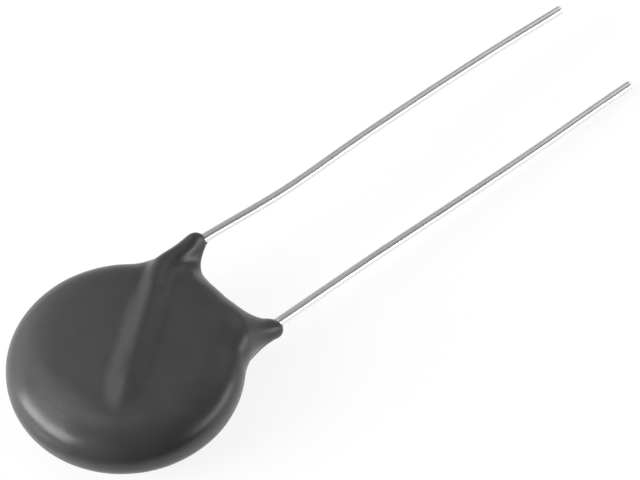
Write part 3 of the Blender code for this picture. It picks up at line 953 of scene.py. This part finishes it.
def make_floor():
    """A pale floor: white to the camera but for the part's soft shadow. The part mirrors it
    white as well, and dark on the camera's side."""
    work = bmesh.new()
    bmesh.ops.create_grid(work, x_segments=1, y_segments=1, size=FLOOR_SIZE / 2)
    floor = mesh_object("floor", work)
    material, tree, _ = new_material("pale_floor")
    tree.nodes.clear()
    path = tree.nodes.new("ShaderNodeLightPath")
    to_camera, to_gloss = path.outputs["Is Camera Ray"], path.outputs["Is Glossy Ray"]
    place = tree.nodes.new("ShaderNodeTexCoord").outputs["Object"]
    middle = DISC_CENTRE.dot(AHEAD)
    fade = (middle + MIRROR_FADE_START, middle + MIRROR_FADE_END)
    levels = (MIRRORED_NEAR_CAMERA, MIRRORED_FLOOR)
    mirrored = value_range(tree, reach_along(tree, place, AHEAD), fade, levels)
    glow = value_range(tree, to_gloss, (0, 1), (0, mirrored))
    glow = value_range(tree, to_camera, (0, 1), (glow, FLOOR_WHITE))
    tone = value_range(tree, to_gloss, (0, 1), (FLOOR_ALBEDO, 0))
    tone = value_range(tree, to_camera, (0, 1), (tone, FLOOR_ALBEDO * FLOOR_LIT_SHARE))
    matte = tree.nodes.new("ShaderNodeBsdfDiffuse")
    tree.links.new(tone, matte.inputs["Color"])
    white = tree.nodes.new("ShaderNodeEmission")
    tree.links.new(glow, white.inputs["Strength"])
    both = tree.nodes.new("ShaderNodeAddShader")
    tree.links.new(matte.outputs[0], both.inputs[0])
    tree.links.new(white.outputs[0], both.inputs[1])
    output = tree.nodes.new("ShaderNodeOutputMaterial")
    tree.links.new(both.outputs[0], output.inputs["Surface"])
    set_material(floor, material)


def make_world():
    """White to the camera. To all else, a grey room that is dark on the camera's side."""
    world = bpy.data.worlds.new("studio")
    bpy.context.scene.world = world
    world.use_nodes = True
    tree = world.node_tree
    way = tree.nodes.new("ShaderNodeTexCoord").outputs["Generated"]
    levels = (WORLD_NEAR_CAMERA, WORLD_BEHIND_PART)
    room = value_range(tree, reach_along(tree, way, AHEAD), WORLD_FADE, levels)
    path = tree.nodes.new("ShaderNodeLightPath")
    strength = value_range(tree, path.outputs["Is Camera Ray"], (0, 1), (room, 1))
    background = tree.nodes["Background"]
    background.inputs["Color"].default_value = opaque((1, 1, 1))
    tree.links.new(strength, background.inputs["Strength"])


def make_light(name, heading, elevation, size, level):
    """A soft light aimed at the part, as bright as level says whatever its size."""
    light = bpy.data.lights.new(name, "AREA")
    light.shape = "RECTANGLE"
    light.size, light.size_y = size
    light.energy = level * LIGHT_POWER * size[0] * size[1]
    lamp = bpy.data.objects.new(name, light)
    bpy.context.scene.collection.objects.link(lamp)
    turn, tilt = math.radians(heading), math.radians(elevation)
    flat = math.cos(tilt)
    way = Vector((math.cos(turn) * flat, math.sin(turn) * flat, math.sin(tilt)))
    lamp.location = way * LIGHT_DISTANCE
    lamp.rotation_mode = "QUATERNION"
    lamp.rotation_quaternion = way.to_track_quat("Z", "Y")


def make_camera():
    right, down, forward = Vector(CAMERA_RIGHT), Vector(CAMERA_DOWN), Vector(CAMERA_FORWARD)
    data = bpy.data.cameras.new("photo_view")
    data.sensor_width = SENSOR_MM
    data.lens = SENSOR_MM * CAMERA_FOCAL_PIXELS / PHOTO_WIDTH_PIXELS
    data.clip_start, data.clip_end = CAMERA_CLIP
    camera = bpy.data.objects.new("photo_view", data)
    bpy.context.scene.collection.objects.link(camera)
    axes = Matrix((right, -down, -forward)).transposed()
    x, y, z = CAMERA_PLACE
    place = DISC_CENTRE + right * x + down * y + forward * z
    camera.matrix_world = Matrix.Translation(place) @ axes.to_quaternion().to_matrix().to_4x4()
    bpy.context.scene.camera = camera


# The part

def place_piece(piece, node, material):
    piece.data.transform(Matrix.Translation(DISC_CENTRE))
    piece.data.shade_smooth()
    piece.data.set_sharp_from_angle(angle=math.radians(SHARP_ANGLE))
    set_material(piece, material)
    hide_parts(node)
    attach(piece, "root")


make_camera()
place_piece(make_coat(), "coating", epoxy_material())
tinned = tinned_material()
for side, word in ((FRONT, "front"), (BACK, "back")):
    place_piece(make_lead(side, word + "_wire"), word + "_lead", tinned)

silver = metal_material("fired_silver", SILVER_TONES, SILVER_ROUGHNESS)
solder = metal_material("solder", SOLDER_TONES, SOLDER_ROUGHNESS)
set_material(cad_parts["ceramic_disc"], ceramic_material())
for word in ("front", "back"):
    set_material(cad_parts[word + "_electrode"], silver)
    set_material(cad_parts[word + "_solder"], solder)

make_floor()
make_world()
for name, values in LIGHTS.items():
    make_light(name, *values)

bpy.context.scene.view_settings.view_transform = "Standard"
